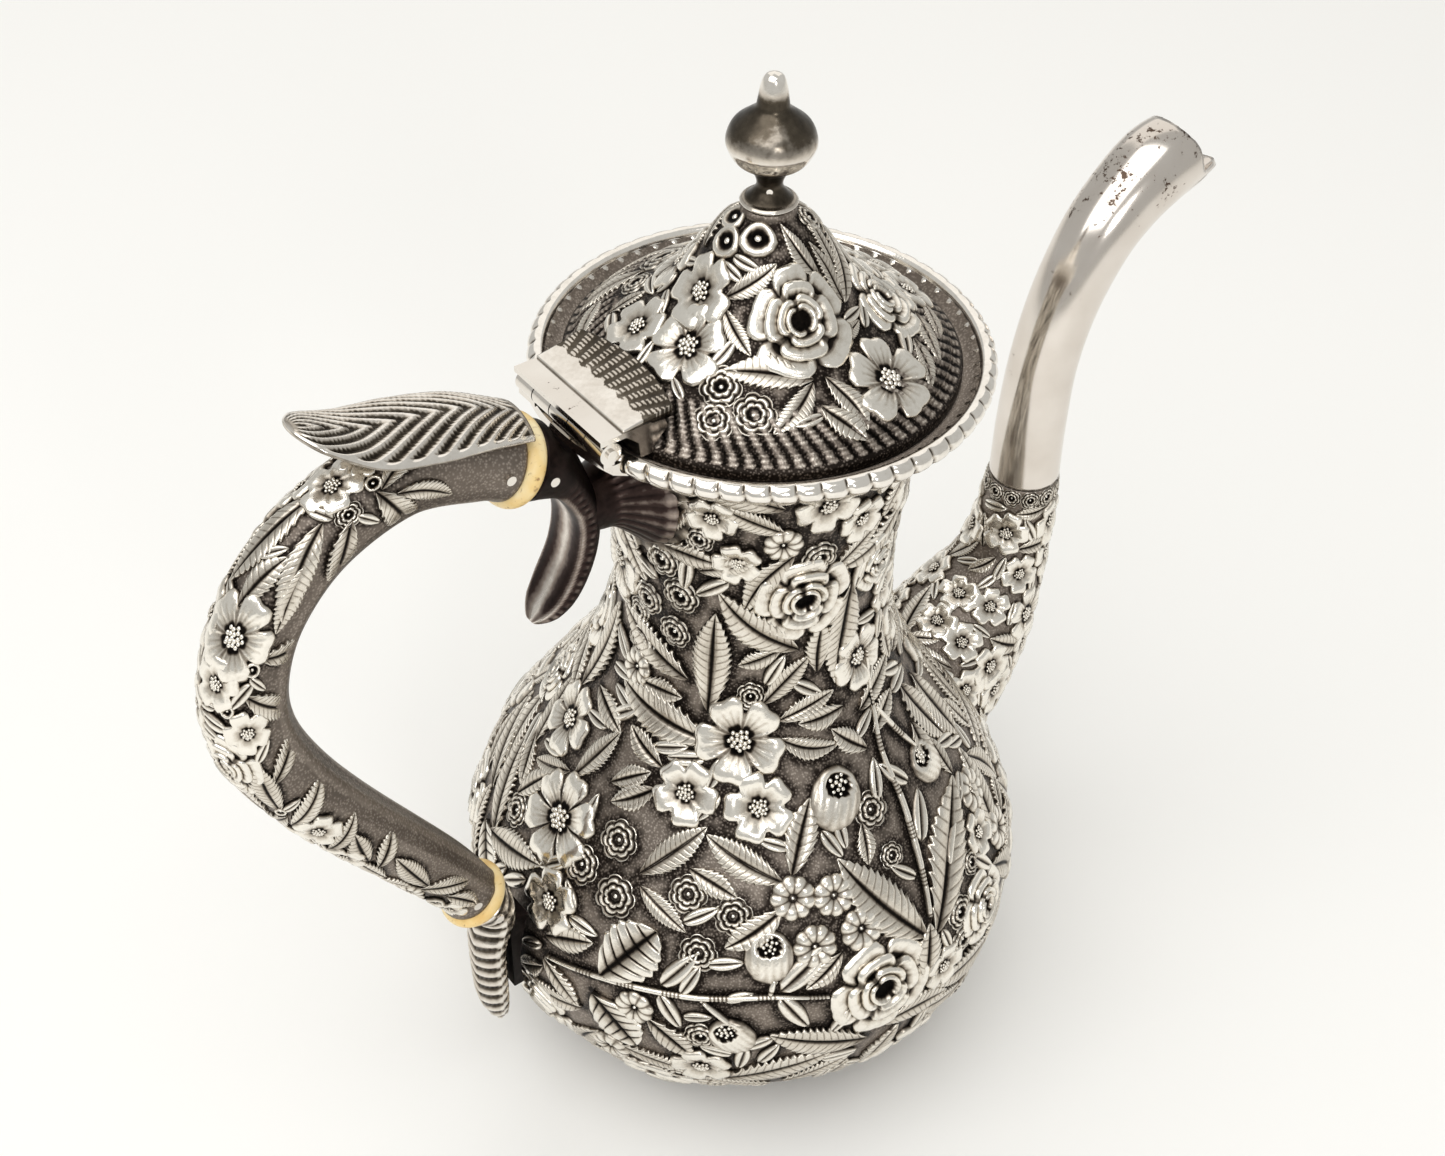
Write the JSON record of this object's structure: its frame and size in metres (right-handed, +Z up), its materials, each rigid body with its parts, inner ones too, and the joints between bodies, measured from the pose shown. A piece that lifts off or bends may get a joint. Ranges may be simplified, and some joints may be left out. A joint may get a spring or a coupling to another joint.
{
  "type": "coffee pot",
  "caption": "Baluster coffee pot in chased silver with flowers in relief, a hinged domed lid with a finial, a long plain spout and an insulated scroll handle",
  "frame": {"origin": "centre of the foot ring, on the plane it stands on, on the axis of the body", "axes": "+Z up along the body axis, +X towards the spout, handle and lid hinge at -X, +Y to the pourer's left when the spout points away"},
  "size_m": [0.2564, 0.1336, 0.2466],
  "materials": {
    "chased_silver": "chased relief, bright high points and oxidised dark ground",
    "polished_silver": "polished, with light brown tarnish specks",
    "tarnished_silver": "dark brown-purple tarnish, semi-gloss",
    "silver_pins": "polished pin ends",
    "bone_insulators": "warm cream bone, satin polish"
  },
  "bodies": {
    "pot": {"body_bowl": "chased_silver", "body_shoulder": "chased_silver", "body_neck": "chased_silver", "base_disc": "polished_silver", "foot_ring": "polished_silver", "rim_border": "polished_silver", "lid_seat_ring": "tarnished_silver", "hinge_body_leaf": "tarnished_silver", "body_knuckles": "tarnished_silver", "hinge_pin": "silver_pins", "spout_root": "chased_silver", "spout_tube": "polished_silver", "handle_body": "chased_silver", "thumb_leaf": "chased_silver", "upper_insulator": "bone_insulators", "lower_insulator": "bone_insulators", "upper_socket": "tarnished_silver", "upper_mount": "tarnished_silver", "lower_socket": "tarnished_silver", "lower_mount": "tarnished_silver", "upper_handle_pin": "silver_pins", "upper_socket_pin": "silver_pins", "lower_handle_pin": "silver_pins", "lower_socket_pin": "silver_pins"},
    "lid": {"lid_dome": "chased_silver", "lid_bezel": "tarnished_silver", "finial": "polished_silver", "finial_peg": "polished_silver", "finial_pin": "polished_silver", "hinge_lid_leaf": "polished_silver", "lid_knuckles": "tarnished_silver"}
  },
  "joints": [
    {"name": "lid_hinge", "type": "hinge", "parent": "pot", "child": "lid", "pos_m": [-0.04614, 0, 0.19], "axis": [0, -1, 0], "range_deg": [0, 100]}
  ]
}
